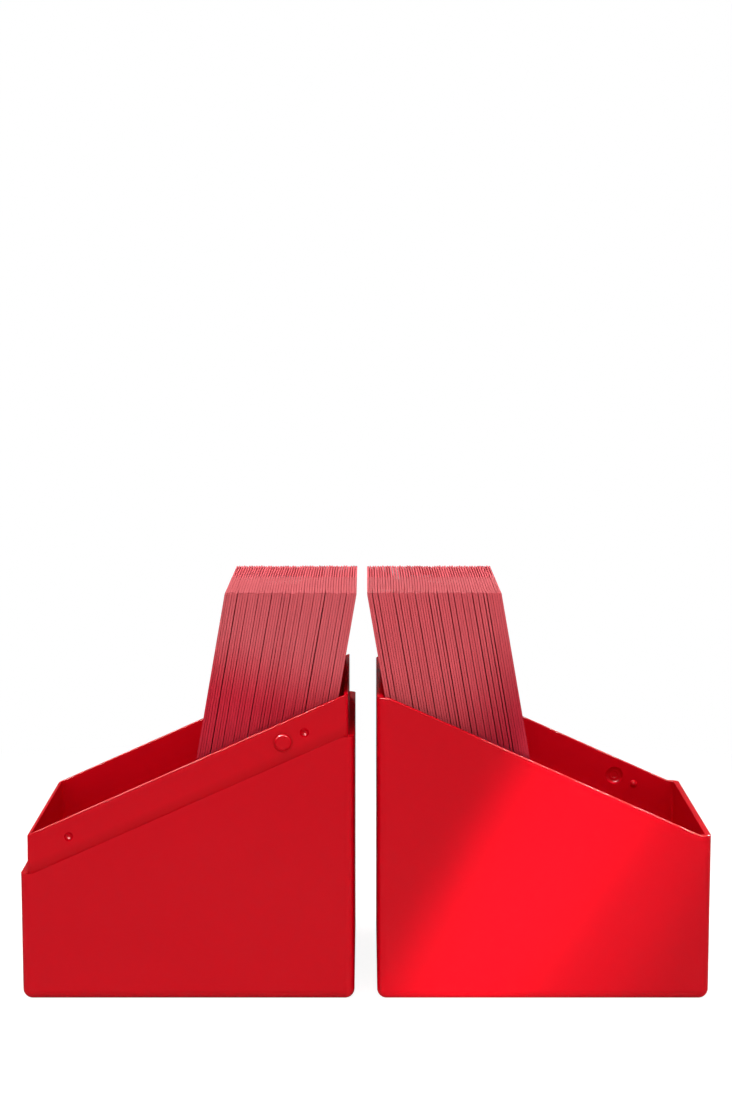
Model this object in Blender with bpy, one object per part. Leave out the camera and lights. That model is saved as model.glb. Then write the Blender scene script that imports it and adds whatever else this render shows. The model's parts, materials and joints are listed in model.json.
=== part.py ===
"""Deck case in two halves, open, side by side, each with a leaning pack of sleeved cards.

Metres, +Z up. The origin is at the middle of the row of two halves, on the surface that they
stand on. The base is on the -X side and the lid on the +X side, and their tall walls face each
other across a small gap. Places along a half are given by u, the distance from the outer face
of its tall wall, so that both halves share one set of sizes.
"""

import math

import bmesh
import bpy

# A sleeved card, which the case is made for
CARD_LENGTH = 0.091
CARD_WIDTH = 0.066
CARD_THICKNESS = 0.0005

# The closed case: its width, and the room that it leaves round a card
CASE_WIDTH = 0.0755
CARD_SIDE_CLEARANCE = 0.00337
CARD_END_CLEARANCE = 0.0026

# The slanted joint line between the halves
BASE_TALL_HEIGHT = 0.0612
JOINT_RISE = 0.0336
JOINT_LEVEL_RUN = 0.0027
JOINT_FILLET = 0.003

# Walls, floor and the fit of the lid over the lip
OUTER_WALL = 0.0014
LIP_WALL = 0.0009
LIP_FIT = 0.00008
LIP_HEIGHT = 0.0091
LEDGE_CLEARANCE = 0.0004
FLOOR = 0.002
SHORT_WALL_DRAFT = math.radians(0.6)

# Rounded edges
CORNER_RADIUS = 0.0022
BOTTOM_RADIUS = 0.0021
INNER_CORNER_RADIUS = 0.0008
FLOOR_RADIUS = 0.0007
LEAST_CORNER_SHARE = 0.05

# Round snap details on the near and far walls, half way up the lip
BOSS_FROM_TALL_WALL = 0.0161
BOSS_RADIUS = 0.00205
BOSS_HEIGHT = 0.00035
BOSS_EDGE = 0.0002
BUMP_FROM_TALL_WALL = 0.0113
BUMP_FROM_SHORT_WALL = 0.0109
BUMP_RADIUS = 0.00095
BUMP_HEIGHT = 0.0003
SNAP_CLEARANCE = 0.0001
SNAP_ROOT = 0.0003

# The packs of cards, which lean on the tall walls, and the room between their tops
CARD_LEAN = math.radians(9.87)
CARDS_PER_PACK = 50
CARDS_PER_NODE = 2
CARD_WEB = 0.0015
FLOOR_CLEARANCE = 0.0003
BASE_CARD_GAP = 0.000088
LID_CARD_GAP = 0.0001
BASE_RIM_CLEARANCE = 0.00105
LID_RIM_CLEARANCE = 0.0003
PACKS_CLEARANCE = 0.00225

# How far cutters run past what they cut, and how finely round edges are stepped
OVERRUN = 0.004
CORNER_STEPS = 5
EDGE_STEPS = 4
FILLET_STEPS = 4
ROUND_SIDES = 24
SNAP_STEPS = 4

# Sizes that follow
SHOULDER = OUTER_WALL + LIP_FIT
WALL = SHOULDER + LIP_WALL
RECESS_DEPTH = LIP_HEIGHT + LEDGE_CLEARANCE
CASE_DEPTH = CARD_WIDTH + 2 * (CARD_SIDE_CLEARANCE + WALL)
CLOSED_HEIGHT = CARD_LENGTH + 2 * FLOOR + CARD_END_CLEARANCE
SLOPE = JOINT_RISE / CASE_WIDTH
LID_TALL_HEIGHT = CLOSED_HEIGHT - BASE_TALL_HEIGHT + JOINT_RISE
BASE_SIDE = -1
LID_SIDE = 1

RED = (0.571, 0.006, 0.012)
SLEEVE_RED = (0.55, 0.06, 0.09)


def clear_scene():
    for obj in list(bpy.data.objects):
        bpy.data.objects.remove(obj, do_unlink=True)


def material(name, colour, roughness):
    made = bpy.data.materials.new(name)
    made.use_nodes = True
    shader = made.node_tree.nodes["Principled BSDF"]
    shader.inputs["Base Color"].default_value = (*colour, 1)
    shader.inputs["Roughness"].default_value = roughness
    shader.inputs["Metallic"].default_value = 0
    return made


def level_height(tall_height, u):
    """Height of a joint line at u, with its level runs at the two ends."""
    inside = min(max(u, JOINT_LEVEL_RUN), CASE_WIDTH - JOINT_LEVEL_RUN)
    return tall_height - SLOPE * inside


def pack_foot(rim_height, rim_wall, rim_clearance):
    """u of the first card's foot, so that the pack clears the tall wall's rim."""
    rise = rim_height - FLOOR - FLOOR_CLEARANCE
    return rim_wall + rim_clearance + rise * math.tan(CARD_LEAN)


def base_pack_foot():
    rim = BASE_TALL_HEIGHT + LIP_HEIGHT - SLOPE * WALL
    return pack_foot(rim, WALL, BASE_RIM_CLEARANCE)


def lid_pack_foot():
    rim = level_height(LID_TALL_HEIGHT, OUTER_WALL)
    return pack_foot(rim, OUTER_WALL, LID_RIM_CLEARANCE)


def pack_reach(foot_u):
    """How far a pack's top reaches out past its tall wall."""
    return max(CARD_LENGTH * math.sin(CARD_LEAN) - foot_u, 0)


def halves_gap():
    """The row's gap, which keeps the tops of the two packs apart."""
    return PACKS_CLEARANCE + pack_reach(base_pack_foot()) + pack_reach(lid_pack_foot())


def at_row(side, u, y, z):
    """The row's point for a place u along the half on that side."""
    return (side * (halves_gap() / 2 + u), y, z)


def object_of(name, mesh):
    """A mesh object with its faces turned outwards."""
    bmesh.ops.recalc_face_normals(mesh, faces=mesh.faces)
    data = bpy.data.meshes.new(name)
    mesh.to_mesh(data)
    mesh.free()
    made = bpy.data.objects.new(name, data)
    bpy.context.scene.collection.objects.link(made)
    return made


def combine(target, tool, operation):
    """Applies one exact Boolean to the target and removes the tool."""
    tool.hide_render = True
    tool.display_type = "WIRE"
    modifier = target.modifiers.new(operation.lower(), "BOOLEAN")
    modifier.operation = operation
    modifier.solver = "EXACT"
    modifier.object = tool
    bpy.context.view_layer.update()
    graph = bpy.context.evaluated_depsgraph_get()
    data = bpy.data.meshes.new_from_object(target.evaluated_get(graph))
    target.modifiers.clear()
    target.data = data
    bpy.data.objects.remove(tool, do_unlink=True)


def rounded_ring(inset, radius, drawn_in):
    """Points (u, y) of the case's plan, inset all round, its short wall drawn in further."""
    low_u, high_u = inset, CASE_WIDTH - inset - drawn_in
    low_y, high_y = -CASE_DEPTH / 2 + inset, CASE_DEPTH / 2 - inset
    corners = (
        (low_u + radius, low_y + radius, math.pi),
        (high_u - radius, low_y + radius, 1.5 * math.pi),
        (high_u - radius, high_y - radius, 0),
        (low_u + radius, high_y - radius, 0.5 * math.pi),
    )
    ring = []
    for centre_u, centre_y, start in corners:
        for step in range(CORNER_STEPS + 1):
            angle = start + 0.5 * math.pi * step / CORNER_STEPS
            ring.append((centre_u + radius * math.cos(angle), centre_y + radius * math.sin(angle)))
    return ring


def lofted(name, side, levels):
    """A closed body through rings: each level is (z, inset, radius, drawn_in)."""
    mesh = bmesh.new()
    rings = []
    for z, inset, radius, drawn_in in levels:
        points = rounded_ring(inset, radius, drawn_in)
        rings.append([mesh.verts.new(at_row(side, u, y, z)) for u, y in points])
    for lower, upper in zip(rings, rings[1:]):
        count = len(lower)
        for i in range(count):
            j = (i + 1) % count
            mesh.faces.new((lower[i], lower[j], upper[j], upper[i]))
    mesh.faces.new(rings[0])
    mesh.faces.new(rings[-1])
    return object_of(name, mesh)


def edge_levels(bottom, inset, radius, edge, draw):
    """Levels that round a body's bottom edge, from its underside up."""
    levels = []
    for step in range(EDGE_STEPS + 1):
        angle = 0.5 * math.pi * step / EDGE_STEPS
        z = bottom + edge * (1 - math.cos(angle))
        further = edge * (1 - math.sin(angle))
        corner = max(radius - further, radius * LEAST_CORNER_SHARE)
        levels.append((z, inset + further, corner, draw(z)))
    return levels


def short_wall_draw(tall_height):
    """How far the short wall has drawn in at a height below its own rim."""
    rim = level_height(tall_height, CASE_WIDTH)

    def draw(z):
        return math.tan(SHORT_WALL_DRAFT) * max(rim - z, 0)

    return draw


def joint_outline(tall_height):
    """Points (u, z) of a joint line: level, fillet, slant, fillet, level."""
    angle = math.atan(SLOPE)
    tangent = JOINT_FILLET * math.tan(angle / 2)
    first_u, last_u = JOINT_LEVEL_RUN, CASE_WIDTH - JOINT_LEVEL_RUN
    first_z, last_z = level_height(tall_height, first_u), level_height(tall_height, last_u)
    points = [(-OVERRUN, first_z)]
    for step in range(FILLET_STEPS + 1):
        turn = angle * step / FILLET_STEPS
        u = first_u - tangent + JOINT_FILLET * math.sin(turn)
        points.append((u, first_z - JOINT_FILLET * (1 - math.cos(turn))))
    for step in range(FILLET_STEPS + 1):
        turn = angle * (1 - step / FILLET_STEPS)
        u = last_u + tangent - JOINT_FILLET * math.sin(turn)
        points.append((u, last_z + JOINT_FILLET * (1 - math.cos(turn))))
    points.append((CASE_WIDTH + OVERRUN, last_z))
    return points


def slant_outline(tall_height):
    """Points (u, z) of a plain slanted line that runs past both walls."""
    ends = (-OVERRUN, CASE_WIDTH + OVERRUN)
    return [(u, tall_height - SLOPE * u) for u in ends]


def space_above(name, side, outline):
    """A cutter that takes away all above an outline, over the whole depth."""
    top = CLOSED_HEIGHT + OVERRUN
    profile = outline + [(outline[-1][0], top), (outline[0][0], top)]
    half_depth = CASE_DEPTH / 2 + OVERRUN
    mesh = bmesh.new()
    near = [mesh.verts.new(at_row(side, u, -half_depth, z)) for u, z in profile]
    far = [mesh.verts.new(at_row(side, u, half_depth, z)) for u, z in profile]
    mesh.faces.new(near)
    mesh.faces.new(far)
    for i in range(len(profile)):
        j = (i + 1) % len(profile)
        mesh.faces.new((near[i], near[j], far[j], far[i]))
    return object_of(name, mesh)


def turned(name, side, u, z, wall_y, outwards, profile):
    """A body turned about an axis along Y: profile is (radius, height off the wall's face)."""
    mesh = bmesh.new()
    rings = []
    for radius, height in profile:
        y = wall_y + outwards * height
        ring = []
        for i in range(ROUND_SIDES):
            angle = 2 * math.pi * i / ROUND_SIDES
            along, up = radius * math.cos(angle), radius * math.sin(angle)
            ring.append(mesh.verts.new(at_row(side, u + along, y, z + up)))
        rings.append(ring)
    for lower, upper in zip(rings, rings[1:]):
        for i in range(ROUND_SIDES):
            j = (i + 1) % ROUND_SIDES
            mesh.faces.new((lower[i], lower[j], upper[j], upper[i]))
    mesh.faces.new(rings[0])
    mesh.faces.new(rings[-1])
    return object_of(name, mesh)


def boss_profile(radius, height):
    """A flat round boss with a rounded edge, rooted in the wall behind its face."""
    profile = [(radius, -SNAP_ROOT)]
    for step in range(SNAP_STEPS + 1):
        angle = 0.5 * math.pi * step / SNAP_STEPS
        drop = BOSS_EDGE * (1 - math.sin(angle))
        profile.append((radius - BOSS_EDGE * (1 - math.cos(angle)), height - drop))
    return profile


def cap_profile(radius, height):
    """A low dome, rooted in the wall behind its face."""
    sphere = (radius**2 + height**2) / (2 * height)
    widest = math.asin(radius / sphere)
    profile = [(radius, -SNAP_ROOT)]
    for step in range(SNAP_STEPS):
        angle = widest * (1 - step / SNAP_STEPS)
        rise = sphere * math.cos(angle) - (sphere - height)
        profile.append((sphere * math.sin(angle), rise))
    return profile


def snap_places(on_lid):
    """u of the boss, and of the two bumps, on one half: the lid's mate with the base's."""
    places = (BOSS_FROM_TALL_WALL, BUMP_FROM_TALL_WALL, CASE_WIDTH - BUMP_FROM_SHORT_WALL)
    if on_lid:
        return [CASE_WIDTH - u for u in places]
    return list(places)


def add_base_snaps(shell):
    """Raised bosses and sunk dimples on the lip's near and far outer faces."""
    face = CASE_DEPTH / 2 - SHOULDER
    boss_u, *dimple_us = snap_places(False)
    dimple = cap_profile(BUMP_RADIUS + SNAP_CLEARANCE, BUMP_HEIGHT + SNAP_CLEARANCE)
    for wall in (-1, 1):
        z = BASE_TALL_HEIGHT - SLOPE * boss_u + LIP_HEIGHT / 2
        profile = boss_profile(BOSS_RADIUS, BOSS_HEIGHT)
        boss = turned("boss", BASE_SIDE, boss_u, z, wall * face, wall, profile)
        combine(shell, boss, "UNION")
        for u in dimple_us:
            z = BASE_TALL_HEIGHT - SLOPE * u + LIP_HEIGHT / 2
            cutter = turned("dimple", BASE_SIDE, u, z, wall * face, -wall, dimple)
            combine(shell, cutter, "DIFFERENCE")


def add_lid_snaps(shell):
    """Sunk sockets and raised bumps on the recess's near and far faces."""
    face = CASE_DEPTH / 2 - OUTER_WALL
    socket_u, *bump_us = snap_places(True)
    socket = boss_profile(BOSS_RADIUS + SNAP_CLEARANCE, BOSS_HEIGHT + SNAP_CLEARANCE)
    for wall in (-1, 1):
        z = LID_TALL_HEIGHT - SLOPE * socket_u - LIP_HEIGHT / 2
        cutter = turned("socket", LID_SIDE, socket_u, z, wall * face, wall, socket)
        combine(shell, cutter, "DIFFERENCE")
        profile = cap_profile(BUMP_RADIUS, BUMP_HEIGHT)
        for u in bump_us:
            z = LID_TALL_HEIGHT - SLOPE * u - LIP_HEIGHT / 2
            bump = turned("bump", LID_SIDE, u, z, wall * face, -wall, profile)
            combine(shell, bump, "UNION")


def outer_body(name, side, tall_height):
    """A half's outside: the rounded box up to its joint line."""
    draw = short_wall_draw(tall_height)
    levels = edge_levels(0, 0, CORNER_RADIUS, BOTTOM_RADIUS, draw)
    rim = level_height(tall_height, CASE_WIDTH)
    levels.append((rim, 0, CORNER_RADIUS, 0))
    levels.append((tall_height + OVERRUN, 0, CORNER_RADIUS, 0))
    body = lofted(name, side, levels)
    cutter = space_above("above_joint", side, joint_outline(tall_height))
    combine(body, cutter, "DIFFERENCE")
    return body


def cavity(side, tall_height):
    """The hollow that the cards stand in."""
    draw = short_wall_draw(tall_height)
    levels = edge_levels(FLOOR, WALL, INNER_CORNER_RADIUS, FLOOR_RADIUS, draw)
    rim = level_height(tall_height, CASE_WIDTH)
    levels.append((rim, WALL, INNER_CORNER_RADIUS, 0))
    levels.append((CLOSED_HEIGHT, WALL, INNER_CORNER_RADIUS, 0))
    return lofted("cavity", side, levels)


def make_base_shell():
    shell = outer_body("base_shell", BASE_SIDE, BASE_TALL_HEIGHT)
    lip_corner = CORNER_RADIUS - SHOULDER + LIP_FIT
    top = BASE_TALL_HEIGHT + LIP_HEIGHT
    levels = [
        (FLOOR / 2, SHOULDER, lip_corner, short_wall_draw(BASE_TALL_HEIGHT)(0)),
        (level_height(BASE_TALL_HEIGHT, CASE_WIDTH), SHOULDER, lip_corner, 0),
        (top + OVERRUN, SHOULDER, lip_corner, 0),
    ]
    lip = lofted("lip", BASE_SIDE, levels)
    combine(lip, space_above("above_lip", BASE_SIDE, slant_outline(top)), "DIFFERENCE")
    combine(shell, lip, "UNION")
    combine(shell, cavity(BASE_SIDE, BASE_TALL_HEIGHT), "DIFFERENCE")
    add_base_snaps(shell)
    return shell


def make_lid_shell():
    shell = outer_body("lid_shell", LID_SIDE, LID_TALL_HEIGHT)
    combine(shell, cavity(LID_SIDE, LID_TALL_HEIGHT), "DIFFERENCE")
    recess_corner = CORNER_RADIUS - OUTER_WALL
    levels = [
        (FLOOR, OUTER_WALL, recess_corner, 0),
        (CLOSED_HEIGHT, OUTER_WALL, recess_corner, 0),
    ]
    recess = lofted("recess", LID_SIDE, levels)
    ledge = LID_TALL_HEIGHT - RECESS_DEPTH
    above = space_above("above_ledge", LID_SIDE, slant_outline(ledge))
    combine(recess, above, "INTERSECT")
    combine(shell, recess, "DIFFERENCE")
    add_lid_snaps(shell)
    return shell


def make_cards(name, side, foot_u, pitch):
    """Sleeved cards that share a hidden web at their foot, leaning on the tall wall."""
    bottom = FLOOR + FLOOR_CLEARANCE
    profile = [(0, 0)]
    for card in range(CARDS_PER_NODE):
        start = card * pitch
        profile.append((start, CARD_LENGTH))
        profile.append((start + CARD_THICKNESS, CARD_LENGTH))
        if card < CARDS_PER_NODE - 1:
            profile.append((start + CARD_THICKNESS, CARD_WEB))
            profile.append((start + pitch, CARD_WEB))
    profile.append(((CARDS_PER_NODE - 1) * pitch + CARD_THICKNESS, 0))
    sine, cosine = math.sin(CARD_LEAN), math.cos(CARD_LEAN)
    mesh = bmesh.new()
    sides = []
    for y in (-CARD_WIDTH / 2, CARD_WIDTH / 2):
        ring = []
        for across, up in profile:
            u = foot_u + across * cosine - up * sine
            z = bottom + across * sine + up * cosine
            ring.append(mesh.verts.new(at_row(side, u, y, z)))
        sides.append(ring)
        mesh.faces.new(ring)
    near, far = sides
    for i in range(len(profile)):
        j = (i + 1) % len(profile)
        mesh.faces.new((near[i], near[j], far[j], far[i]))
    return object_of(name, mesh)


def make_pack(prefix, side, foot_u, card_gap, look):
    """One half's cards, in nodes of a few cards each, from the tall wall outwards."""
    pitch = CARD_THICKNESS + card_gap
    step = pitch * CARDS_PER_NODE / math.cos(CARD_LEAN)
    for index in range(CARDS_PER_PACK // CARDS_PER_NODE):
        name = f"{prefix}_{index + 1:02d}"
        cards = make_cards(name, side, foot_u + index * step, pitch)
        cards.data.materials.append(look)


def smooth(shell):
    shell.data.shade_smooth()
    shell.data.set_sharp_from_angle(angle=math.radians(30))


def main():
    clear_scene()
    plastic = material("red_plastic", RED, 0.35)
    sleeve = material("red_sleeves", SLEEVE_RED, 0.5)
    for shell in (make_base_shell(), make_lid_shell()):
        smooth(shell)
        shell.data.materials.clear()
        shell.data.materials.append(plastic)
    make_pack("base_cards", BASE_SIDE, base_pack_foot(), BASE_CARD_GAP, sleeve)
    make_pack("lid_cards", LID_SIDE, lid_pack_foot(), LID_CARD_GAP, sleeve)


main()
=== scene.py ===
"""Looks for the open deck case: two moulded halves, each with a leaning pack of sleeved cards.

Everything is in metres, in the CAD frame. The base stands on the -X side and the lid on the +X
side. Places along a half are given by u, the distance from the outer face of its tall wall.
"""

import json
import math
import random

import bmesh
import bpy
from mathutils import Matrix, Vector

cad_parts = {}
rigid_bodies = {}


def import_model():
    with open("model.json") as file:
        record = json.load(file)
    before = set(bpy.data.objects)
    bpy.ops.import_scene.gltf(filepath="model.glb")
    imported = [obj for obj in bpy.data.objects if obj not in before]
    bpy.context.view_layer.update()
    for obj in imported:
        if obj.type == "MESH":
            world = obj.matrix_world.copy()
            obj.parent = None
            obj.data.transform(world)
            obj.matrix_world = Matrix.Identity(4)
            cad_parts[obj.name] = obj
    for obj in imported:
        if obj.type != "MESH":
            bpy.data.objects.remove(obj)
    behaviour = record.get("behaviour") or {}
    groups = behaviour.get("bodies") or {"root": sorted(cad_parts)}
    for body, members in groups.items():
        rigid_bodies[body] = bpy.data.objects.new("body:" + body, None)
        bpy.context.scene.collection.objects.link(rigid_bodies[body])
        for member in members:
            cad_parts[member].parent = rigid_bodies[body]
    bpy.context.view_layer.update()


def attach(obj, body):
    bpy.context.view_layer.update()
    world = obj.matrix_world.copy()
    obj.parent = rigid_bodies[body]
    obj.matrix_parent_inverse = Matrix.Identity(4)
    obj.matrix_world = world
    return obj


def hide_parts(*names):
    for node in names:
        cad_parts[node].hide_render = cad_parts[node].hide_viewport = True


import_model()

# Sizes of the case, the same as in the part's source
CARD_LENGTH, CARD_WIDTH = 0.091, 0.066
CASE_WIDTH, CASE_DEPTH, CLOSED_HEIGHT = 0.0755, 0.0775, 0.0976
BASE_TALL_HEIGHT, JOINT_RISE = 0.0612, 0.0336
JOINT_LEVEL_RUN, JOINT_FILLET = 0.0027, 0.003
OUTER_WALL, LIP_WALL, LIP_FIT = 0.0014, 0.0009, 0.00008
LIP_HEIGHT, LEDGE_CLEARANCE, FLOOR = 0.0091, 0.0004, 0.002
SHORT_WALL_DRAFT = math.radians(0.6)
CORNER_RADIUS, BOTTOM_RADIUS = 0.0022, 0.0021
INNER_CORNER_RADIUS, FLOOR_RADIUS = 0.0008, 0.0007
BOSS_FROM_TALL_WALL, BOSS_RADIUS = 0.0161, 0.00205
BUMP_FROM_TALL_WALL, BUMP_FROM_SHORT_WALL = 0.0113, 0.0109
BUMP_RADIUS, SNAP_CLEARANCE, SNAP_ROOT = 0.00095, 0.0001, 0.0003
CARD_LEAN = math.radians(9.87)
CARDS_PER_PACK, CARDS_PER_NODE = 50, 2
CARD_SPACE, BASE_CARD_GAP, LID_CARD_GAP = 0.0005, 0.000088, 0.0001
BASE_RIM_CLEARANCE, LID_RIM_CLEARANCE, PACKS_CLEARANCE = 0.00105, 0.0003, 0.00225
FLOOR_CLEARANCE = 0.0003

# The looks' recess is deeper than the CAD's, so that its ledge stays hidden from the front
RECESS_DEEPER = 0.0006

SLOPE = JOINT_RISE / CASE_WIDTH
LID_TALL_HEIGHT = CLOSED_HEIGHT - BASE_TALL_HEIGHT + JOINT_RISE
SHOULDER = OUTER_WALL + LIP_FIT
WALL = SHOULDER + LIP_WALL
RECESS_DEPTH = LIP_HEIGHT + LEDGE_CLEARANCE + RECESS_DEEPER
BASE_SIDE, LID_SIDE = -1, 1

# The camera, fitted to the photograph
CAMERA_PLACE, CAMERA_PITCH = (0.00004, -0.74263, 0.16541), math.radians(84.889)
CAMERA_LENS, CAMERA_SENSOR = 103.607, 36
CAMERA_NEAREST, CAMERA_FARTHEST = 0.01, 20

# The world's light, and what light meets on the floor
WORLD_LIGHT, FLOOR_LIT = 0.44, 0.52

# The floor as the camera shows it: its shaded part, and where that fades out to white
FLOOR_SHADED, FLOOR_GLOW = 0.3, 0.91
FLOOR_FADE_START, FLOOR_FADE_END = 0.15, 0.35
FLOOR_SIZE, FLOOR_BELOW = 4, 0.00003

# The slanting band of light on the lid's near face
SPOT_DISTANCE, SPOT_SOFTNESS = 0.9, 0.0041
SPOT_TURN, SPOT_RISE = math.radians(-15), math.radians(5)

# Small roundings that only the looks have
RIM_ROUND, LIP_ROUND, FOOT_ROUND = 0.00025, 0.00022, 0.00012
LEDGE_FALL, LEAST_RADIUS = 0.0004, 0.00008
CORNER_STEPS, EDGE_STEPS, RIM_STEPS = 10, 8, 4
ROUND_SIDES, SNAP_STEPS = 48, 6
SHARP_ANGLE, FLAT_FACE_WEIGHT = math.radians(32), 80

# The looks round the snap details more than the CAD does
DISC_RADIUS, DISC_RISE, DISC_ROUND, DISC_ROOT = 0.0019, 0.00045, 0.00062, 0.0001
RING_RADIUS, RING_DEEP, RING_ROUND = 0.00228, 0.00028, 0.00006
SOCKET_DEEP, SOCKET_ROUND = 0.0007, 0.0008
EYE_RADIUS, EYE_DEEP, EYE_ROUND = 0.0009, 0.00012, 0.0002
DIMPLE_DEEP, BUMP_RISE = 0.00078, 0.00072

# Where the side walls have points, as shares of their straight length: dense at the level runs
SIDE_SHARES = (
    0.003, 0.0065, 0.010, 0.0135, 0.018, 0.06, 0.15, 0.3, 0.5,
    0.7, 0.85, 0.94, 0.982, 0.9865, 0.990, 0.9935, 0.997,
)

# The shade on the base's lip: the heights over the ledge between which it fades out, how strong
# it is at most, and how near the lip's outer face a point has to be
LEDGE_SHADE_START, LEDGE_SHADE_END, LEDGE_SHADE = -0.00025, 0.0026, 0.26
LEDGE_SHADE_REACH = 0.0005

# How deep the grain is, and where most of a noise's values lie
GRAIN_DEPTH, FINE_GRAIN_DEPTH = 0.00002, 0.00001
NOISE_LOW, NOISE_HIGH = 0.3, 0.7

# Painted shade on the sleeves: how much of its green and blue a sleeve keeps where it is full
SHADED_GREEN, SHADED_BLUE = 0.24, 0.38

# A sleeve: its thickness, its side room in the pack, and its welded sides and foot
BASE_SLEEVE_FULL, LID_SLEEVE_FULL, SLEEVE_SIDE_ROOM = 0.000552, 0.00054, 0.00013
SEAM_DEEP, SEAM_SIDE_ROOM, SEAM_FOOT = 0.0012, 0.00002, 0.0005
FOOT_PROFILE = ((0, 0.35), (0.0006, 0.8), (0.002, 1))
FILM_EDGE_THICK, FILM_EDGE_TALL = 0.00025, 0.00012

# A sleeve's half thickness at its side, as (distance in from the side, share of the full one)
SIDE_PROFILE = ((0.0, 0.9), (0.00005, 0.96), (0.00015, 0.99), (0.0009, 1.0), (0.0022, 1.0))
LIP_FROM_SIDE = SIDE_PROFILE[2][0]

# A sleeve's mouth: its films lean together over its last part. A row of points just below that
# keeps the lean out of the shading of the broad face.
MOUTH_ROUND, MOUTH_SHADING = 0.00025, 0.001
MOUTH_FLOOR_DEEP, MOUTH_CEILING_DEEP, MOUTH_OVERLAP = 0.00018, 0.00006, 0.00001

# How far the mouth's edges stay apart in its near and far part, as shares of the thickness
NEAR_MOUTH, FAR_MOUTH = 0.88, (0.42, 0.72)
# Where the far part starts, the columns either side, and the blend of the lips' painted light there
FAR_MOUTH_FROM, MOUTH_STEP, LIGHT_BAND_BLEND = 0.004, 0.0003, 0.0005

# The card in a sleeve
INNER_CARD_WIDTH, INNER_CARD_LENGTH, INNER_CARD_THICK = 0.063, 0.088, 0.0003
CARD_SHARES = (0, 0.25, 0.5, 0.75, 1)

# How the sleeves and cards differ from each other
SLEEVE_SHIFT, SLEEVE_SHORTER = 0.00012, 0.0002
CARD_SLACK, CARD_LOWEST, CARD_HIGHER = 0.0002, 0.0006, 0.0004
BASE_SEED, LID_SEED = 11, 23

# A pack bows across its width, and its gaps close within a share of it, sooner on the far side
NARROW_GAP, PACK_BOW = 0.000001, 0.00028
NEAR_CLOSING, FAR_CLOSING = 2, 20

# The wider gaps in each pack, as (share of its depth from the gap between the halves, how wide
# it is next to the others)
BASE_GAPS = (
    (0.070, 13), (0.112, 7), (0.172, 4), (0.233, 20), (0.260, 8), (0.328, 7), (0.396, 11),
    (0.434, 6), (0.495, 11), (0.533, 9), (0.560, 9), (0.632, 15), (0.704, 5), (0.749, 9),
    (0.818, 9), (0.863, 4), (0.905, 18), (0.932, 5),
)
LID_GAPS = (
    (0.048, 25), (0.088, 20), (0.143, 5), (0.206, 27), (0.235, 18), (0.276, 4), (0.301, 16),
    (0.368, 24), (0.408, 4), (0.434, 8), (0.460, 25), (0.500, 15), (0.526, 26), (0.566, 4),
    (0.592, 26), (0.650, 20), (0.699, 16), (0.739, 9), (0.772, 26), (0.816, 20), (0.857, 22),
    (0.882, 26), (0.923, 4),
)


# Heights and places


def level_height(tall, u):
    """A joint line's height at u, without its fillets."""
    return tall - SLOPE * min(max(u, JOINT_LEVEL_RUN), CASE_WIDTH - JOINT_LEVEL_RUN)


def joint_height(tall, u):
    """A joint line's height at u: level, fillet, slant, fillet, level."""
    angle = math.atan(SLOPE)
    tangent = JOINT_FILLET * math.tan(angle / 2)
    reach = JOINT_FILLET * math.sin(angle)
    first = u - (JOINT_LEVEL_RUN - tangent)
    last = CASE_WIDTH - JOINT_LEVEL_RUN + tangent - u
    if 0 < first < reach:
        return level_height(tall, 0) - JOINT_FILLET + math.sqrt(JOINT_FILLET**2 - first**2)
    if 0 < last < reach:
        return level_height(tall, CASE_WIDTH) + JOINT_FILLET - math.sqrt(JOINT_FILLET**2 - last**2)
    return level_height(tall, u)


def pack_foot(rim_height, rim_wall, rim_clearance):
    """Where a leaning pack's foot stands, so that the pack stays clear of the tall wall's rim."""
    rise = rim_height - FLOOR - FLOOR_CLEARANCE
    return rim_wall + rim_clearance + rise * math.tan(CARD_LEAN)


def pack_reach(foot_u):
    """How far a pack's top leans out over the gap between the halves."""
    return max(CARD_LENGTH * math.sin(CARD_LEAN) - foot_u, 0)


BASE_FOOT = pack_foot(BASE_TALL_HEIGHT + LIP_HEIGHT - SLOPE * WALL, WALL, BASE_RIM_CLEARANCE)
LID_FOOT = pack_foot(level_height(LID_TALL_HEIGHT, OUTER_WALL), OUTER_WALL, LID_RIM_CLEARANCE)
HALVES_GAP = PACKS_CLEARANCE + pack_reach(BASE_FOOT) + pack_reach(LID_FOOT)


def at_row(side, u, y, z):
    return Vector((side * (HALVES_GAP / 2 + u), y, z))


def quarter_turn(step, steps):
    return 0.5 * math.pi * step / steps


# Camera and lights


def add_camera():
    data = bpy.data.cameras.new("camera")
    data.sensor_width = CAMERA_SENSOR
    data.lens = CAMERA_LENS
    data.clip_start = CAMERA_NEAREST
    data.clip_end = CAMERA_FARTHEST
    camera = bpy.data.objects.new("camera", data)
    camera.location = CAMERA_PLACE
    camera.rotation_euler = (CAMERA_PITCH, 0, 0)
    bpy.context.scene.collection.objects.link(camera)
    bpy.context.scene.camera = camera


def add_area(name, place, target, size, power, lights=True, shines=True):
    """A softbox. It lights matt surfaces, shows as a highlight in gloss, or does both."""
    data = bpy.data.lights.new(name, "AREA")
    data.shape = "RECTANGLE"
    data.size, data.size_y = size
    data.energy = power
    lamp = bpy.data.objects.new(name, data)
    lamp.location = place
    lamp.rotation_euler = (Vector(target) - Vector(place)).to_track_quat("-Z", "Y").to_euler()
    lamp.visible_camera = False
    lamp.visible_diffuse = lights
    lamp.visible_glossy = shines
    bpy.context.scene.collection.objects.link(lamp)


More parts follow.
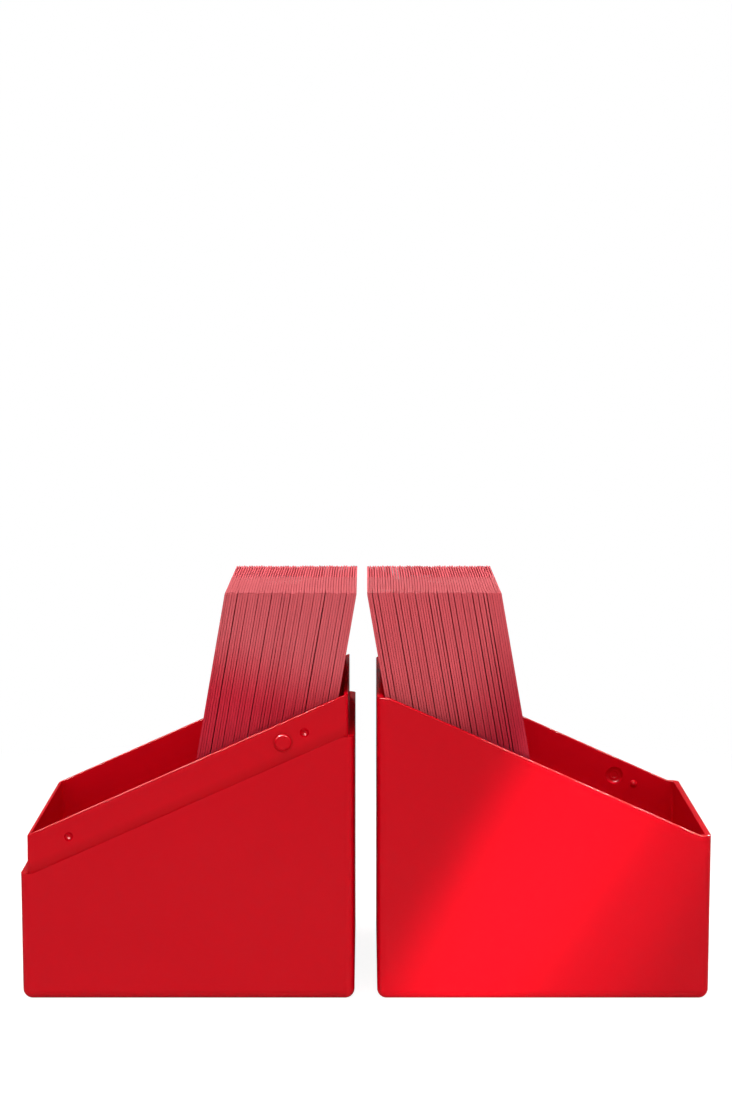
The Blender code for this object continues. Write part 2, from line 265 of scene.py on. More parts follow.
def add_band_spot(name, centre, half_width, slant, stretch, power):
    """A spot whose long oval lights the lid's near face in a slanting band.

    Its centre is in x and z, its slant in degrees from upright, and its stretch is the oval's
    length over its width.
    """
    target = Vector((centre[0], -CASE_DEPTH / 2, centre[1]))
    level = math.cos(SPOT_RISE)
    back = Vector((math.sin(SPOT_TURN) * level, -math.cos(SPOT_TURN) * level, math.sin(SPOT_RISE)))
    slant = math.radians(slant)
    along = Vector((math.sin(slant), 0, math.cos(slant)))
    across = Vector((math.cos(slant), 0, -math.sin(slant)))
    long_axis = (along - back * along.dot(back)).normalized()
    short_axis = long_axis.cross(back)
    data = bpy.data.lights.new(name, "SPOT")
    data.energy = power
    data.shadow_soft_size = SPOT_SOFTNESS
    data.spot_blend = 1
    data.spot_size = 2 * math.atan(half_width * abs(across.dot(short_axis)) / SPOT_DISTANCE)
    lamp = bpy.data.objects.new(name, data)
    turned_axes = Matrix((short_axis, long_axis, back)).transposed()
    lamp.matrix_world = (
        Matrix.Translation(target + back * SPOT_DISTANCE)
        @ turned_axes.to_4x4()
        @ Matrix.Diagonal((1, stretch, 1, 1))
    )
    lamp.visible_camera = False
    bpy.context.scene.collection.objects.link(lamp)


# Shader nodes


def calculate(tree, operation, *values):
    """The result of a Math node, whose values are numbers or sockets."""
    node = tree.nodes.new("ShaderNodeMath")
    node.operation = operation
    for socket, value in zip(node.inputs, values):
        if isinstance(value, (int, float)):
            socket.default_value = value
        else:
            tree.links.new(value, socket)
    return node.outputs[0]


def map_range(tree, value, start, end, low=0, high=1, kind="LINEAR"):
    """Low where the value is at its start, high at its end, and held outside them."""
    node = tree.nodes.new("ShaderNodeMapRange")
    node.interpolation_type = kind
    node.inputs["From Min"].default_value = start
    node.inputs["From Max"].default_value = end
    node.inputs["To Min"].default_value = low
    node.inputs["To Max"].default_value = high
    tree.links.new(value, node.inputs["Value"])
    return node.outputs["Result"]


def mix_colour(tree, factor, first, second):
    """A colour between two, each given as a colour or a socket."""
    mix = tree.nodes.new("ShaderNodeMix")
    mix.data_type = "RGBA"
    tree.links.new(factor, mix.inputs["Factor"])
    for name, colour in (("A", first), ("B", second)):
        if isinstance(colour, tuple):
            mix.inputs[name].default_value = (*colour, 1)
        else:
            tree.links.new(colour, mix.inputs[name])
    return mix.outputs["Result"]


def mix_shaders(tree, factor, first, second):
    mix = tree.nodes.new("ShaderNodeMixShader")
    tree.links.new(factor, mix.inputs["Fac"])
    tree.links.new(first, mix.inputs[1])
    tree.links.new(second, mix.inputs[2])
    return mix.outputs[0]


def object_place(tree):
    """A point's place in the piece's own space, which is the CAD frame at rest."""
    return tree.nodes.new("ShaderNodeTexCoord").outputs["Object"]


def coordinates(tree):
    parts = tree.nodes.new("ShaderNodeSeparateXYZ")
    tree.links.new(object_place(tree), parts.inputs[0])
    return parts.outputs


def noise(tree, scale, detail=3.0, stretch=(1, 1, 1)):
    """A noise value in the piece's own space, in features of about 1/scale metres."""
    mapping = tree.nodes.new("ShaderNodeMapping")
    mapping.inputs["Scale"].default_value = stretch
    texture = tree.nodes.new("ShaderNodeTexNoise")
    texture.inputs["Scale"].default_value = scale
    texture.inputs["Detail"].default_value = detail
    tree.links.new(object_place(tree), mapping.inputs["Vector"])
    tree.links.new(mapping.outputs["Vector"], texture.inputs["Vector"])
    return texture.outputs["Fac"]


# World and floor


def by_ray(tree, lit, seen):
    """One shader for rays of light, the other for what the camera, gloss and glass show."""
    path = tree.nodes.new("ShaderNodeLightPath")
    factor = path.outputs["Is Camera Ray"]
    for kind in ("Is Glossy Ray", "Is Transmission Ray"):
        factor = calculate(tree, "MAXIMUM", factor, path.outputs[kind])
    return mix_shaders(tree, factor, lit, seen)


def white_glow(tree, kind, strength):
    shader = tree.nodes.new(kind)
    shader.inputs["Color"].default_value = (1, 1, 1, 1)
    shader.inputs["Strength"].default_value = strength
    return shader.outputs[0]


def grey_diffuse(tree, level):
    shader = tree.nodes.new("ShaderNodeBsdfDiffuse")
    shader.inputs["Color"].default_value = (level, level, level, 1)
    return shader.outputs[0]


def add_world():
    """White behind the object, and a dimmer soft light on it."""
    world = bpy.data.worlds.new("studio")
    world.use_nodes = True
    tree = world.node_tree
    tree.nodes.clear()
    kind = "ShaderNodeBackground"
    out = tree.nodes.new("ShaderNodeOutputWorld")
    chosen = by_ray(tree, white_glow(tree, kind, WORLD_LIGHT), white_glow(tree, kind, 1))
    tree.links.new(chosen, out.inputs["Surface"])
    bpy.context.scene.world = world


def floor_material():
    """White to the camera, with the object's faint shadow near it; plain pale grey to light."""
    made = bpy.data.materials.new("studio_floor")
    made.use_nodes = True
    tree = made.node_tree
    tree.nodes.clear()
    kind = "ShaderNodeEmission"
    length = tree.nodes.new("ShaderNodeVectorMath")
    length.operation = "LENGTH"
    tree.links.new(object_place(tree), length.inputs[0])
    away = map_range(
        tree, length.outputs["Value"], FLOOR_FADE_START, FLOOR_FADE_END, kind="SMOOTHSTEP"
    )
    near = tree.nodes.new("ShaderNodeAddShader")
    tree.links.new(grey_diffuse(tree, FLOOR_SHADED), near.inputs[0])
    tree.links.new(white_glow(tree, kind, FLOOR_GLOW), near.inputs[1])
    seen = mix_shaders(tree, away, near.outputs[0], white_glow(tree, kind, 1))
    out = tree.nodes.new("ShaderNodeOutputMaterial")
    tree.links.new(by_ray(tree, grey_diffuse(tree, FLOOR_LIT), seen), out.inputs["Surface"])
    return made


def add_floor():
    mesh = bmesh.new()
    bmesh.ops.create_grid(mesh, x_segments=1, y_segments=1, size=FLOOR_SIZE)
    data = bpy.data.meshes.new("floor")
    mesh.to_mesh(data)
    mesh.free()
    data.materials.append(floor_material())
    floor = bpy.data.objects.new("floor", data)
    floor.location = (0, 0, -FLOOR_BELOW)
    bpy.context.scene.collection.objects.link(floor)


# Materials


def new_material(name, roughness, specular):
    made = bpy.data.materials.new(name)
    made.use_nodes = True
    tree = made.node_tree
    shader = tree.nodes["Principled BSDF"]
    shader.inputs["Roughness"].default_value = roughness
    shader.inputs["Specular IOR Level"].default_value = specular
    return made, tree, shader


def set_colour(tree, shader, colour):
    tree.links.new(colour, shader.inputs["Base Color"])


def vary_roughness(tree, shader, value, low, high):
    varied = map_range(tree, value, NOISE_LOW, NOISE_HIGH, low, high)
    tree.links.new(varied, shader.inputs["Roughness"])


def add_bump(tree, shader, value, strength, distance=GRAIN_DEPTH):
    bump = tree.nodes.new("ShaderNodeBump")
    bump.inputs["Strength"].default_value = strength
    bump.inputs["Distance"].default_value = distance
    tree.links.new(value, bump.inputs["Height"])
    tree.links.new(bump.outputs["Normal"], shader.inputs["Normal"])


def ledge_shade(tree):
    """How strong the shade is that gathers on the outside of the base's lip, above its ledge."""
    parts = coordinates(tree)
    short_end, tall_end = CASE_WIDTH - JOINT_LEVEL_RUN, JOINT_LEVEL_RUN
    joint = map_range(
        tree, parts["X"],
        -HALVES_GAP / 2 - short_end, -HALVES_GAP / 2 - tall_end,
        joint_height(BASE_TALL_HEIGHT, short_end), joint_height(BASE_TALL_HEIGHT, tall_end),
    )
    above = calculate(tree, "SUBTRACT", parts["Z"], joint)
    shade = map_range(tree, above, LEDGE_SHADE_START, LEDGE_SHADE_END, LEDGE_SHADE, 0)
    sideways = calculate(tree, "ABSOLUTE", parts["Y"])
    outside = calculate(tree, "COMPARE", sideways, CASE_DEPTH / 2 - SHOULDER, LEDGE_SHADE_REACH)
    return calculate(tree, "MULTIPLY", shade, outside)


def moulded_plastic(name, shaded_ledge=False):
    """Glossy red injection-moulded plastic, with a faint flow mottle and a fine satin grain."""
    made, tree, shader = new_material(name, 0.38, 0.0)
    shader.inputs["Coat Weight"].default_value = 0.062
    shader.inputs["Coat Roughness"].default_value = 0.14
    shader.inputs["Coat IOR"].default_value = 2.0
    mottle = noise(tree, 38, 2.0, (1, 1, 0.6))
    colour = mix_colour(tree, mottle, (0.552, 0.0006, 0.0072), (0.578, 0.0008, 0.0080))
    if shaded_ledge:
        colour = mix_colour(tree, ledge_shade(tree), colour, (0, 0, 0))
    set_colour(tree, shader, colour)
    vary_roughness(tree, shader, noise(tree, 900, 4.0), 0.34, 0.44)
    add_bump(tree, shader, noise(tree, 2600, 2.0), 0.06)
    return made


def sleeve_colour(tree, value, low, high, lean, shade_from, shade_to, shaded_red):
    """A sleeve's colour, deeper in painted shade low in the case and outwards, where less light
    scatters in.
    """
    parts = coordinates(tree)
    outwards = calculate(tree, "ABSOLUTE", parts["X"])
    height = calculate(tree, "MULTIPLY_ADD", outwards, -lean, parts["Z"])
    unshaded = map_range(tree, height, shade_from, shade_to, kind="SMOOTHSTEP")
    # The colour in full painted shade: darker, with less green and blue
    deep = (low[0] * shaded_red, low[1] * SHADED_GREEN, low[2] * SHADED_BLUE)
    return mix_colour(tree, unshaded, deep, mix_colour(tree, value, low, high))


def sleeve_film(prefix, deep):
    """Thin see-through red film with a matt, faintly pebbled face."""
    made, tree, shader = new_material(f"{prefix}_sleeve_film", 0.45, 0.0)
    shader.inputs["Alpha"].default_value = 0.55
    shader.inputs["Coat Weight"].default_value = 0.12
    shader.inputs["Coat Roughness"].default_value = 0.35
    low, high = (0.60, 0.038, 0.052), (0.66, 0.048, 0.062)
    set_colour(tree, shader, sleeve_colour(tree, noise(tree, 60, 2.0), low, high, *deep))
    vary_roughness(tree, shader, noise(tree, 1500, 3.0), 0.38, 0.52)
    add_bump(tree, shader, noise(tree, 4000, 2.0), 0.15)
    return made


def sleeve_seam(prefix, low, high, deep):
    """The welded and cut edges of a sleeve, painted paler than its film for the light they catch.
    """
    made, tree, shader = new_material(f"{prefix}_sleeve_seam", 0.45, 0.0)
    streaks = noise(tree, 300, 3.0, (1, 1, 0.1))
    set_colour(tree, shader, sleeve_colour(tree, streaks, low, high, *deep))
    add_bump(tree, shader, noise(tree, 1800, 2.0, (1, 1, 0.05)), 0.1)
    return made


def sleeve_lip():
    """The films' cut top edges: painted light, pale as if glowing, and paler in the mouth's far
    part.
    """
    made, tree, shader = new_material("sleeve_lip", 0.5, 0.0)
    # The painted band of light over the mouth's far part
    far = map_range(
        tree, coordinates(tree)["Y"], FAR_MOUTH_FROM - LIGHT_BAND_BLEND, FAR_MOUTH_FROM + LIGHT_BAND_BLEND
    )
    streaks = noise(tree, 500, 2.0, (1, 0.1, 1))
    near_colour = mix_colour(tree, streaks, (0.585, 0.116, 0.130), (0.640, 0.135, 0.150))
    set_colour(tree, shader, mix_colour(tree, far, near_colour, (0.78, 0.136, 0.160)))
    add_bump(tree, shader, noise(tree, 1800, 2.0), 0.1)
    return made


def card_stock():
    """Cut edge of a pale card, with the fine lines of its pressed layers."""
    made, tree, shader = new_material("card_edge", 0.75, 0.0)
    layers = noise(tree, 700, 3.0, (1, 1, 0.08))
    set_colour(tree, shader, mix_colour(tree, layers, (0.62, 0.50, 0.49), (0.76, 0.66, 0.64)))
    add_bump(tree, shader, noise(tree, 2500, 3.0), 0.2)
    return made


def card_face():
    """Plain dark red face of a card, with no print on it."""
    made, tree, shader = new_material("card_face", 0.5, 0.4)
    cloud = noise(tree, 90, 3.0)
    set_colour(tree, shader, mix_colour(tree, cloud, (0.25, 0.012, 0.020), (0.32, 0.020, 0.028)))
    vary_roughness(tree, shader, noise(tree, 800, 3.0), 0.42, 0.58)
    add_bump(tree, shader, noise(tree, 3000, 2.0), 0.1, FINE_GRAIN_DEPTH)
    return made


# Levels of the moulded shells


def plan_ring(inset, radius, drawn):
    """Points (u, y) round a half's plan, inset all round, its short wall drawn in further."""
    low_u, high_u = inset, CASE_WIDTH - inset - drawn
    low_y, high_y = -CASE_DEPTH / 2 + inset, CASE_DEPTH / 2 - inset
    corners = (
        (low_u + radius, low_y + radius, math.pi),
        (high_u - radius, low_y + radius, 1.5 * math.pi),
        (high_u - radius, high_y - radius, 0),
        (low_u + radius, high_y - radius, 0.5 * math.pi),
    )
    straight = high_u - low_u - 2 * radius
    ring = []
    for index, (centre_u, centre_y, start) in enumerate(corners):
        for step in range(CORNER_STEPS + 1):
            angle = start + quarter_turn(step, CORNER_STEPS)
            ring.append((centre_u + radius * math.cos(angle), centre_y + radius * math.sin(angle)))
        if index == 0:
            ring += [(low_u + radius + straight * share, low_y) for share in SIDE_SHARES]
        if index == 2:
            ring += [(high_u - radius - straight * share, high_y) for share in SIDE_SHARES]
    return ring


def rounded(steps):
    """Pairs (across, up) of a quarter round of radius 1, from a wall's face to its top."""
    turns = [quarter_turn(step, steps) for step in range(steps + 1)]
    return [(1 - math.cos(turn), math.sin(turn) - 1) for turn in turns]


def short_wall_draw(tall):
    """How far the drafted short wall is drawn in at a height."""
    rim = level_height(tall, CASE_WIDTH)
    return lambda z: math.tan(SHORT_WALL_DRAFT) * max(rim - z, 0)


def outside_levels(tall, edge_round):
    """Levels (inset, radius, height at u, drawn in) from the underside up to the rim's top edge."""
    draw = short_wall_draw(tall)
    levels = []
    for step in range(EDGE_STEPS + 1):
        angle = quarter_turn(step, EDGE_STEPS)
        z = BOTTOM_RADIUS * (1 - math.cos(angle))
        further = BOTTOM_RADIUS * (1 - math.sin(angle))
        levels.append((further, CORNER_RADIUS - further, lambda u, z=z: z, draw(z)))
    for across, up in rounded(RIM_STEPS) if edge_round else [(0, 0)]:
        inset = edge_round * across
        corner = CORNER_RADIUS - inset
        levels.append((inset, corner, lambda u, d=edge_round * up: joint_height(tall, u) + d, 0))
    return levels


def inside_levels(tall):
    """Levels from the foot of the cavity's wall round to its floor."""
    draw = short_wall_draw(tall)
    levels = []
    for step in range(EDGE_STEPS + 1):
        angle = quarter_turn(step, EDGE_STEPS)
        z = FLOOR + FLOOR_RADIUS * (1 - math.sin(angle))
        further = FLOOR_RADIUS * (1 - math.cos(angle))
        levels.append((WALL + further, INNER_CORNER_RADIUS - further, lambda u, z=z: z, draw(z)))
    return levels


def lip_levels(tall):
    """Levels over the base's ledge, up the lip, over its rounded top and into the cavity."""
    top = tall + LIP_HEIGHT
    corner = INNER_CORNER_RADIUS
    levels = []
    for step in range(RIM_STEPS + 1):
        angle = quarter_turn(step, RIM_STEPS)
        inset = SHOULDER - FOOT_ROUND * (1 - math.sin(angle))
        rise = FOOT_ROUND * (1 - math.cos(angle)) - LEDGE_FALL
        levels.append((inset, corner, lambda u, d=rise: joint_height(tall, u) + d, 0))
    for across, up in rounded(RIM_STEPS):
        inset = SHOULDER + LIP_ROUND * across
        levels.append((inset, corner, lambda u, d=LIP_ROUND * up: top - SLOPE * u + d, 0))
    for across, up in reversed(rounded(RIM_STEPS)):
        inset = WALL - LIP_ROUND * across
        levels.append((inset, corner, lambda u, d=LIP_ROUND * up: top - SLOPE * u + d, 0))
    return levels


def recess_levels(tall):
    """Levels over the lid's rim, down its recess to the ledge and into the cavity."""
    ledge = tall - RECESS_DEPTH
    corner = CORNER_RADIUS - OUTER_WALL
    levels = []
    for across, up in reversed(rounded(RIM_STEPS)):
        inset = OUTER_WALL - LIP_ROUND * across
        levels.append((inset, corner, lambda u, d=LIP_ROUND * up: joint_height(tall, u) + d, 0))
    for step in range(RIM_STEPS + 1):
        angle = quarter_turn(step, RIM_STEPS)
        inset = OUTER_WALL + FOOT_ROUND * (1 - math.cos(angle))
        rise = FOOT_ROUND * (1 - math.sin(angle))
        levels.append((inset, corner, lambda u, d=rise: ledge - SLOPE * u + d, 0))
    for across, up in reversed(rounded(RIM_STEPS)):
        inset = WALL - FOOT_ROUND * across
        levels.append((inset, corner, lambda u, d=FOOT_ROUND * up: ledge - SLOPE * u + d, 0))
    return levels


# Meshes of the moulded shells


def finished(name, mesh, recalculate=True):
    if recalculate:
        bmesh.ops.recalc_face_normals(mesh, faces=mesh.faces)
    data = bpy.data.meshes.new(name)
    mesh.to_mesh(data)
    mesh.free()
    made = bpy.data.objects.new(name, data)
    bpy.context.scene.collection.objects.link(made)
    return made


def skin(mesh, rings):
    """Faces from each closed ring of points to the next, and one over each end."""
    for lower, upper in zip(rings, rings[1:]):
        count = len(lower)
        for i in range(count):
            j = (i + 1) % count
            mesh.faces.new((lower[i], lower[j], upper[j], upper[i]))
    mesh.faces.new(rings[0])
    mesh.faces.new(rings[-1])


def lofted(name, side, levels):
    mesh = bmesh.new()
    rings = []
    for inset, radius, height, drawn in levels:
        points = plan_ring(inset, max(radius, LEAST_RADIUS), drawn)
        rings.append([mesh.verts.new(at_row(side, u, y, height(u))) for u, y in points])
    skin(mesh, rings)
    return finished(name, mesh)


def turned(side, u, z, wall_y, outwards, profile):
    """A small body turned about an axis along Y: profile is (radius, height off the wall)."""
    mesh = bmesh.new()
    rings = []
    for radius, height in profile:
        ring = []
        for i in range(ROUND_SIDES):
            angle = 2 * math.pi * i / ROUND_SIDES
            place = at_row(
                side, u + radius * math.cos(angle), wall_y + outwards * height,
                z + radius * math.sin(angle),
            )
            ring.append(mesh.verts.new(place))
        rings.append(ring)
    skin(mesh, rings)
    return finished("snap_tool", mesh)


def boss_profile(radius, root, height, edge_across, edge_up):
    """A round boss, from its root to its flat top, with an oval rounding between."""
    profile = [(radius, root)]
    for across, up in rounded(SNAP_STEPS):
        profile.append((radius - edge_across * across, height + edge_up * up))
    return profile


def cap_profile(radius, height):
    """A shallow cap of a sphere, with a root below it."""
    sphere = (radius**2 + height**2) / (2 * height)
    widest = math.asin(radius / sphere)
    profile = [(radius, -SNAP_ROOT)]
    for step in range(SNAP_STEPS):
        angle = widest * (1 - step / SNAP_STEPS)
        profile.append((sphere * math.sin(angle), sphere * math.cos(angle) - sphere + height))
    return profile


def combine(target, tool, operation):
    """Cuts the tool from the target or joins it on, and removes the tool."""
    modifier = target.modifiers.new("snap", "BOOLEAN")
    modifier.operation = operation
    modifier.solver = "EXACT"
    modifier.object = tool
    bpy.context.view_layer.update()
    graph = bpy.context.evaluated_depsgraph_get()
    data = bpy.data.meshes.new_from_object(target.evaluated_get(graph))
    target.modifiers.clear()
    target.data = data
    bpy.data.objects.remove(tool, do_unlink=True)


def add_snaps(shell, side, tall, face, middle, places):
    """Cuts or raises the round snap details, each (u, profile, outwards, operation)."""
    for wall in (-1, 1):
        for u, profile, outwards, operation in places:
            z = tall - SLOPE * u + middle
            combine(shell, turned(side, u, z, wall * face, wall * outwards, profile), operation)


def dress_shell(shell, node, body, look):
    shell.data.materials.clear()
    shell.data.materials.append(look)
    shell.data.shade_smooth()
    shell.data.set_sharp_from_angle(angle=SHARP_ANGLE)
    weighted = shell.modifiers.new("flat_faces", "WEIGHTED_NORMAL")
    weighted.mode = "FACE_AREA"
    weighted.weight = FLAT_FACE_WEIGHT
    weighted.keep_sharp = True
    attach(shell, body)
    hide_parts(node)


def build_base(look):
    tall = BASE_TALL_HEIGHT
    levels = outside_levels(tall, 0) + lip_levels(tall) + inside_levels(tall)
    shell = lofted("base_case_half", BASE_SIDE, levels)
    ring = boss_profile(RING_RADIUS, -SNAP_ROOT, RING_DEEP, RING_ROUND, RING_ROUND)
    disc = boss_profile(DISC_RADIUS, -RING_DEEP - DISC_ROOT, DISC_RISE, DISC_ROUND, DISC_RISE)
    dimple = cap_profile(BUMP_RADIUS + SNAP_CLEARANCE, DIMPLE_DEEP)
    boss_u = BOSS_FROM_TALL_WALL
    places = [(boss_u, ring, -1, "DIFFERENCE"), (boss_u, disc, 1, "UNION")]
    for u in (BUMP_FROM_TALL_WALL, CASE_WIDTH - BUMP_FROM_SHORT_WALL):
        places.append((u, dimple, -1, "DIFFERENCE"))
    add_snaps(shell, BASE_SIDE, tall, CASE_DEPTH / 2 - SHOULDER, LIP_HEIGHT / 2, places)
    dress_shell(shell, "base_shell", "base", look)


def build_lid(look):
    tall = LID_TALL_HEIGHT
    levels = outside_levels(tall, RIM_ROUND) + recess_levels(tall) + inside_levels(tall)
    shell = lofted("lid_case_half", LID_SIDE, levels)
    radius = BOSS_RADIUS + SNAP_CLEARANCE
    socket = boss_profile(radius, -SNAP_ROOT, SOCKET_DEEP, SOCKET_ROUND, SOCKET_DEEP)
    eye = boss_profile(EYE_RADIUS, -SNAP_ROOT, SOCKET_DEEP + EYE_DEEP, EYE_ROUND, EYE_DEEP)
    bump = cap_profile(BUMP_RADIUS, BUMP_RISE)
    boss_u = CASE_WIDTH - BOSS_FROM_TALL_WALL
    places = [(boss_u, socket, 1, "DIFFERENCE"), (boss_u, eye, 1, "DIFFERENCE")]
    for u in (CASE_WIDTH - BUMP_FROM_TALL_WALL, BUMP_FROM_SHORT_WALL):
        places.append((u, bump, -1, "UNION"))
    add_snaps(shell, LID_SIDE, tall, CASE_DEPTH / 2 - OUTER_WALL, -LIP_HEIGHT / 2, places)
    dress_shell(shell, "lid_shell", "lid", look)


# Sleeved cards, with the order of their materials

FILM, SEAM, LIP, STOCK, FACE = range(5)


def strip(mesh, rows, slot):
    """Smooth faces between rows of points, each row as long as the next."""
    for low, high in zip(rows, rows[1:]):
        for i in range(len(low) - 1):
            face = mesh.faces.new((low[i], low[i + 1], high[i + 1], high[i]))
            face.material_index = slot
            face.smooth = True


def add_slab(mesh, place, low, high, edge_slot, face_slot):
    """A thin box in a card's own space, with points along its width so that it can bow."""
    corners = ((low[0], low[2]), (high[0], low[2]), (high[0], high[2]), (low[0], high[2]))
    loops = []
    for share in CARD_SHARES:
        y = low[1] + (high[1] - low[1]) * share
        loops.append([mesh.verts.new(place(a, y, h)) for a, h in corners])
    for here, there in zip(loops, loops[1:]):
        for i, slot in enumerate((edge_slot, face_slot, edge_slot, face_slot)):
            j = (i + 1) % 4
            mesh.faces.new((here[i], here[j], there[j], there[i])).material_index = slot
    for loop in (loops[0], loops[-1]):
        mesh.faces.new(loop).material_index = edge_slot


def add_sleeve(mesh, place, half_full, half_width, tall, far_mouth):
    """Two films that meet in rounded sides and a bottom weld, and lean together at the mouth."""
    inwards = [(-half_width + far, share) for far, share in SIDE_PROFILE]
    steps = (
        -half_width / 2, FAR_MOUTH_FROM - MOUTH_STEP, FAR_MOUTH_FROM + MOUTH_STEP, half_width / 2
    )
    middle = [(y, 1.0) for y in steps]
    across = inwards + middle + [(-y, share) for y, share in reversed(inwards)]
    top = tall - MOUTH_ROUND
    heights = (*FOOT_PROFILE, (tall - MOUTH_SHADING, 1), (top, 1), (tall, None))
    inner = half_width - LIP_FROM_SIDE
    inner_half = half_full - FILM_EDGE_THICK
    parts = ((-inner, FAR_MOUTH_FROM, NEAR_MOUTH), (FAR_MOUTH_FROM, inner, far_mouth))
    for sign in (-1, 1):
        rows = []
        for h, fullness in heights:
            row = []
            for y, share in across:
                mouth = NEAR_MOUTH if y < FAR_MOUTH_FROM else far_mouth
                row.append(place(sign * half_full * share * (fullness or mouth), y, h))
            rows.append([mesh.verts.new(point) for point in row])
        strip(mesh, rows, FILM)
        for near, far, mouth in parts:
            low, high = sorted((sign * half_full * mouth, sign * inner_half * mouth))
            edge_low, edge_high = (low, near, tall - FILM_EDGE_TALL), (high, far, tall)
            add_slab(mesh, place, edge_low, edge_high, LIP, LIP)
    for near, far, mouth in parts:
        half_gap = inner_half * mouth + MOUTH_OVERLAP
        gap_low = (-half_gap, near, tall - MOUTH_FLOOR_DEEP)
        gap_high = (half_gap, far, tall - MOUTH_CEILING_DEEP)
        add_slab(mesh, place, gap_low, gap_high, LIP, LIP)
    seam_half = half_full * SIDE_PROFILE[0][1]
    near, far = half_width - SEAM_DEEP, half_width - SEAM_SIDE_ROOM
    add_slab(mesh, place, (-seam_half, -far, SEAM_FOOT), (seam_half, -near, tall), SEAM, SEAM)
    add_slab(mesh, place, (-seam_half, near, SEAM_FOOT), (seam_half, far, top), SEAM, SEAM)


def add_sleeved_card(mesh, place, full, chance):
    """A sleeve with welded sides and an open top, and a plain card standing in it."""
    half_width = CARD_WIDTH / 2 - SLEEVE_SIDE_ROOM
    shift = chance.uniform(-SLEEVE_SHIFT, SLEEVE_SHIFT)

    def moved(a, y, h):
        return place(a, y + shift, h)

    tall = CARD_LENGTH - chance.uniform(0, SLEEVE_SHORTER)
    add_sleeve(mesh, moved, full / 2, half_width, tall, chance.uniform(*FAR_MOUTH))
    card_half, half_thick = INNER_CARD_WIDTH / 2, INNER_CARD_THICK / 2
    slack = chance.uniform(-CARD_SLACK, CARD_SLACK)
    bottom = CARD_LOWEST + chance.uniform(0, CARD_HIGHER)
    low = (-half_thick, -card_half + slack, bottom)
    high = (half_thick, card_half + slack, bottom + INNER_CARD_LENGTH)
    add_slab(mesh, moved, low, high, STOCK, FACE)


def card_places(pitch, full, gaps):
    """Where each sleeve starts across the pack: narrow gaps, and wider ones at given shares."""
    spare = CARDS_PER_PACK * (pitch - full - NARROW_GAP)
    unit = spare / sum(width for _, width in gaps)
    before = [0.0] * CARDS_PER_PACK
    for share, width in gaps:
        before[min(max(round(share * CARDS_PER_PACK), 1), CARDS_PER_PACK - 1)] += width * unit
    places, across = [], 0.0
    for gap in before:
        across += gap
        places.append(across)
        across += full + NARROW_GAP
    return places


def build_pack(prefix, side, body, foot_u, gap, full, gaps, looks, seed):
    chance = random.Random(seed)
    pitch = CARD_SPACE + gap
    starts = card_places(pitch, full, gaps)
    sine, cosine = math.sin(CARD_LEAN), math.cos(CARD_LEAN)
    bottom = FLOOR + FLOOR_CLEARANCE
    for node in range(CARDS_PER_PACK // CARDS_PER_NODE):
        mesh = bmesh.new()
        for index in range(node * CARDS_PER_NODE, (node + 1) * CARDS_PER_NODE):
            foot = foot_u + starts[index] / cosine
            bow = PACK_BOW * math.sin(math.pi * (index + 0.5) / CARDS_PER_PACK)
            even = index * pitch - starts[index]

            def place(a, y, h, foot=foot, bow=bow, even=even):
                """A point a through the sleeve, y along its width and h up it, in the frame."""
                inwards = 1 - (2 * y / CARD_WIDTH) ** 2
                closed = min(inwards * (NEAR_CLOSING if y < 0 else FAR_CLOSING), 1)
                a += full / 2 + bow * inwards + even * closed
                u = foot + a * cosine - h * sine
                return at_row(side, u, y, bottom + a * sine + h * cosine)

            add_sleeved_card(mesh, place, full, chance)
        piece = finished(f"{prefix}_sleeved_{node + 1:02d}", mesh, recalculate=False)
        for look in looks:
            piece.data.materials.append(look)
        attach(piece, body)
        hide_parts(f"{prefix}_cards_{node + 1:02d}")


# The scene

scene = bpy.context.scene
scene.view_settings.view_transform = "Standard"
for startup in list(bpy.data.objects):
    if startup.type in ("LIGHT", "CAMERA"):
        bpy.data.objects.remove(startup, do_unlink=True)

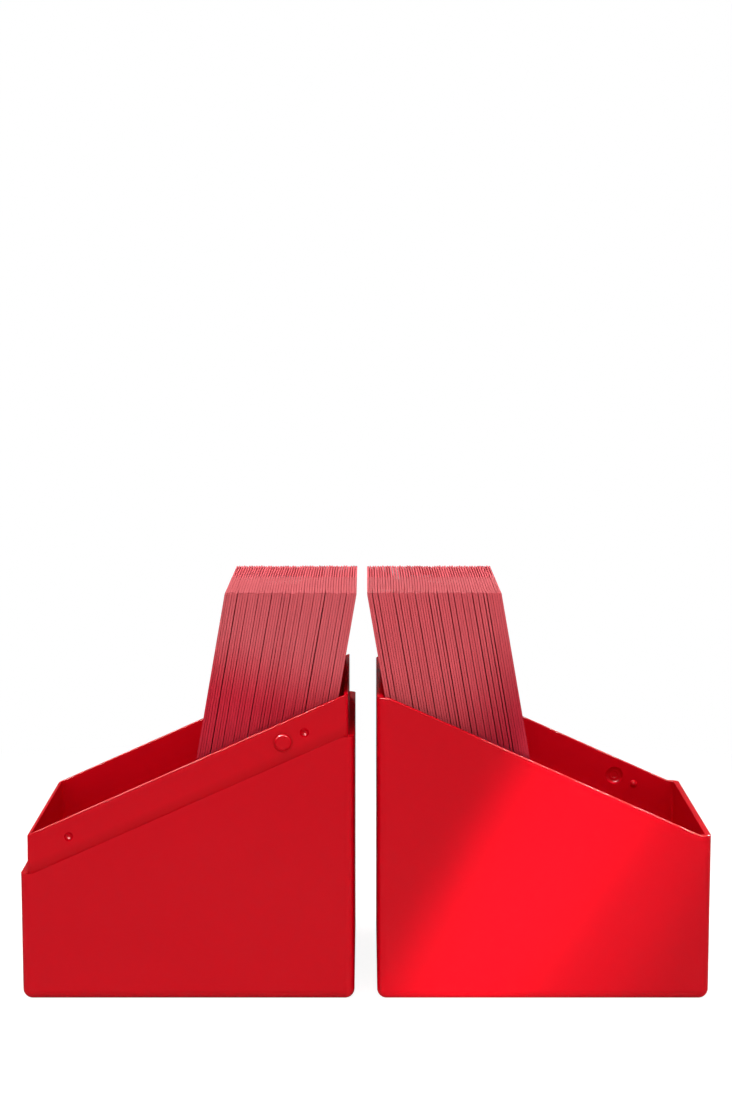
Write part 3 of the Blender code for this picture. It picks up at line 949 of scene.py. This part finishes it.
add_camera()
add_world()
add_floor()
add_area("key_softbox", (0.0, -0.35, 0.72), (0, 0, 0.04), (0.35, 0.35), 1.5)
add_area("left_softbox", (-0.41, -0.1, 0.8), (0, -0.1, 0.04), (0.1, 1.0), 4.0, shines=False)
add_area("right_softbox", (0.41, -0.1, 0.8), (0, -0.1, 0.04), (0.1, 1.0), 3.3, shines=False)
add_area("front_softbox", (0, -1.2, 0.12), (0, 0, 0.04), (1.2, 0.25), 3.65, shines=False)
add_area("left_strip", (-0.53, -0.05, 0.8), (0, -0.05, 0.04), (0.18, 1.1), 50.0, lights=False)
add_area("right_strip", (0.54, 0.3, 0.8), (0, 0.3, 0.04), (0.12, 1.1), 280.0, lights=False)
add_area(
    "front_strip", (-0.225, -0.85, 0.75), (-0.1, -0.04, 0.06), (1.15, 0.5), 150.0, lights=False
)
add_band_spot("band_spot", (0.0516, 0.0504), 0.0215, 33.3, 6.9, 21.4)
add_band_spot("band_tail_spot", (0.0597, 0.05), 0.0317, 28.9, 5.94, 17.1)

build_base(moulded_plastic("base_plastic", shaded_ledge=True))
build_lid(moulded_plastic("lid_plastic"))

# Painted shade low on the sleeves: lean of its line outwards, its two heights, and the red kept
base_painted_shade, lid_painted_shade = (0.3, 0.058, 0.076, 0.92), (1.0, 0.025, 0.060, 0.72)
shared_looks = [sleeve_lip(), card_stock(), card_face()]
# The seams are painted paler for the base's pack and redder for the lid's, for how light falls on
# each
base_looks = [
    sleeve_film("base", base_painted_shade),
    sleeve_seam("base", (0.60, 0.099, 0.115), (0.67, 0.122, 0.138), base_painted_shade),
    *shared_looks,
]
lid_looks = [
    sleeve_film("lid", lid_painted_shade),
    sleeve_seam("lid", (0.61, 0.086, 0.103), (0.69, 0.109, 0.126), lid_painted_shade),
    *shared_looks,
]
build_pack(
    "base", BASE_SIDE, "base_pack", BASE_FOOT, BASE_CARD_GAP, BASE_SLEEVE_FULL, BASE_GAPS,
    base_looks, BASE_SEED,
)
build_pack(
    "lid", LID_SIDE, "lid_pack", LID_FOOT, LID_CARD_GAP, LID_SLEEVE_FULL, LID_GAPS,
    lid_looks, LID_SEED,
)

bpy.context.view_layer.update()
